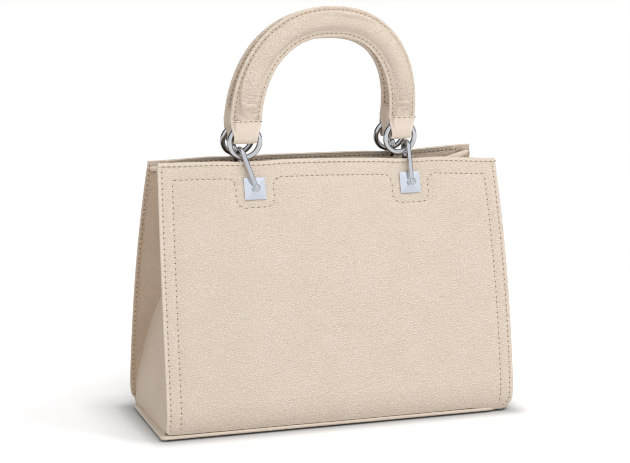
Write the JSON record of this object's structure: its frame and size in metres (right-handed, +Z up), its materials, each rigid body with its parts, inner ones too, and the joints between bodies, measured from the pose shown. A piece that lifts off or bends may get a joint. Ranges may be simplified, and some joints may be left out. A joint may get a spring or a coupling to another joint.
{
  "type": "top handle bag",
  "caption": "Structured leather top handle bag with folded side gussets, two arched padded handles on rings and hook links, pyramid plates and a studded base.",
  "frame": {"origin": "centre of the base at floor level, under the four studs", "axes": "+Z up, the front panel faces -Y, +X to the right seen from the front"},
  "size_m": [0.32, 0.1288, 0.3591],
  "materials": {
    "pebbled_leather": "pebbled, satin",
    "edge_leather": "smooth",
    "lining_cloth": "woven",
    "stiff_board": "plain",
    "handle_core": "twisted cord",
    "zip_tape": "woven",
    "polished_metal": "polished",
    "metal_small": "polished"
  },
  "bodies": {
    "bag": {"front_panel": "pebbled_leather", "back_panel": "pebbled_leather", "front_board": "stiff_board", "back_board": "stiff_board", "front_facing": "pebbled_leather", "back_facing": "pebbled_leather", "front_lining": "lining_cloth", "back_lining": "lining_cloth", "front_binding": "edge_leather", "back_binding": "edge_leather", "left_gusset": "pebbled_leather", "right_gusset": "pebbled_leather", "left_gusset_lining": "lining_cloth", "right_gusset_lining": "lining_cloth", "left_gusset_binding": "edge_leather", "right_gusset_binding": "edge_leather", "base_panel": "pebbled_leather", "base_board": "stiff_board", "base_lining": "lining_cloth", "base_studs": "metal_small", "stud_washers": "metal_small", "snap_socket": "metal_small", "snap_stud": "metal_small", "pocket_bag": "lining_cloth", "zip_tape": "zip_tape", "front_left_plate": "polished_metal", "front_right_plate": "polished_metal", "back_left_plate": "polished_metal", "back_right_plate": "polished_metal", "front_left_rivet": "metal_small", "front_right_rivet": "metal_small", "back_left_rivet": "metal_small", "back_right_rivet": "metal_small", "front_left_washer": "metal_small", "front_right_washer": "metal_small", "back_left_washer": "metal_small", "back_right_washer": "metal_small"},
    "front_handle": {"front_handle_cover": "pebbled_leather", "front_handle_core": "handle_core", "front_handle_backing": "pebbled_leather", "front_left_tab": "edge_leather", "front_right_tab": "edge_leather"},
    "front_left_link_body": {"front_left_link": "polished_metal"},
    "front_left_ring_body": {"front_left_ring": "polished_metal"},
    "front_right_link_body": {"front_right_link": "polished_metal"},
    "front_right_ring_body": {"front_right_ring": "polished_metal"},
    "back_handle": {"back_handle_cover": "pebbled_leather", "back_handle_core": "handle_core", "back_handle_backing": "pebbled_leather", "back_left_tab": "edge_leather", "back_right_tab": "edge_leather"},
    "back_left_link_body": {"back_left_link": "polished_metal"},
    "back_left_ring_body": {"back_left_ring": "polished_metal"},
    "back_right_link_body": {"back_right_link": "polished_metal"},
    "back_right_ring_body": {"back_right_ring": "polished_metal"},
    "slider": {"zip_slider": "metal_small"}
  },
  "joints": [
    {"name": "front_handle_fold", "type": "hinge", "parent": "bag", "child": "front_handle", "pos_m": [-0.006, -0.0163, 0.23224], "axis": [1, 0, 0], "range_deg": [0, 88]},
    {"name": "back_handle_fold", "type": "hinge", "parent": "bag", "child": "back_handle", "pos_m": [-0.003, 0.0163, 0.23224], "axis": [1, 0, 0], "range_deg": [-115, 0]},
    {"name": "front_left_link_swing", "type": "hinge", "parent": "bag", "child": "front_left_link_body", "pos_m": [-0.0717, -0.03273, 0.20778], "axis": [0, -0.9652, 0.2613], "range_deg": [-9, 3]},
    {"name": "front_right_link_swing", "type": "hinge", "parent": "bag", "child": "front_right_link_body", "pos_m": [0.0717, -0.03273, 0.20778], "axis": [0, -0.9652, 0.2613], "range_deg": [0, 12]},
    {"name": "back_left_link_swing", "type": "hinge", "parent": "bag", "child": "back_left_link_body", "pos_m": [-0.0717, 0.03273, 0.20778], "axis": [0, 0.9652, 0.2613], "range_deg": [-4, 9]},
    {"name": "back_right_link_swing", "type": "hinge", "parent": "bag", "child": "back_right_link_body", "pos_m": [0.0717, 0.03273, 0.20778], "axis": [0, 0.9652, 0.2613], "range_deg": [-9, 6]},
    {"name": "front_left_ring_turn", "type": "hinge", "parent": "front_handle", "child": "front_left_ring_body", "pos_m": [-0.0777, -0.01829, 0.2456], "axis": [0, -0.989, -0.1478], "continuous": true},
    {"name": "front_right_ring_turn", "type": "hinge", "parent": "front_handle", "child": "front_right_ring_body", "pos_m": [0.0657, -0.01829, 0.2456], "axis": [0, -0.989, -0.1478], "continuous": true},
    {"name": "back_left_ring_turn", "type": "hinge", "parent": "back_handle", "child": "back_left_ring_body", "pos_m": [-0.0747, 0.0119, 0.24501], "axis": [0, -0.9455, -0.3256], "continuous": true},
    {"name": "back_right_ring_turn", "type": "hinge", "parent": "back_handle", "child": "back_right_ring_body", "pos_m": [0.0687, 0.0119, 0.24501], "axis": [0, -0.9455, -0.3256], "continuous": true},
    {"name": "zip_slide", "type": "slide", "parent": "bag", "child": "slider", "axis": [1, 0, 0], "range_m": [0, 0.14]}
  ]
}
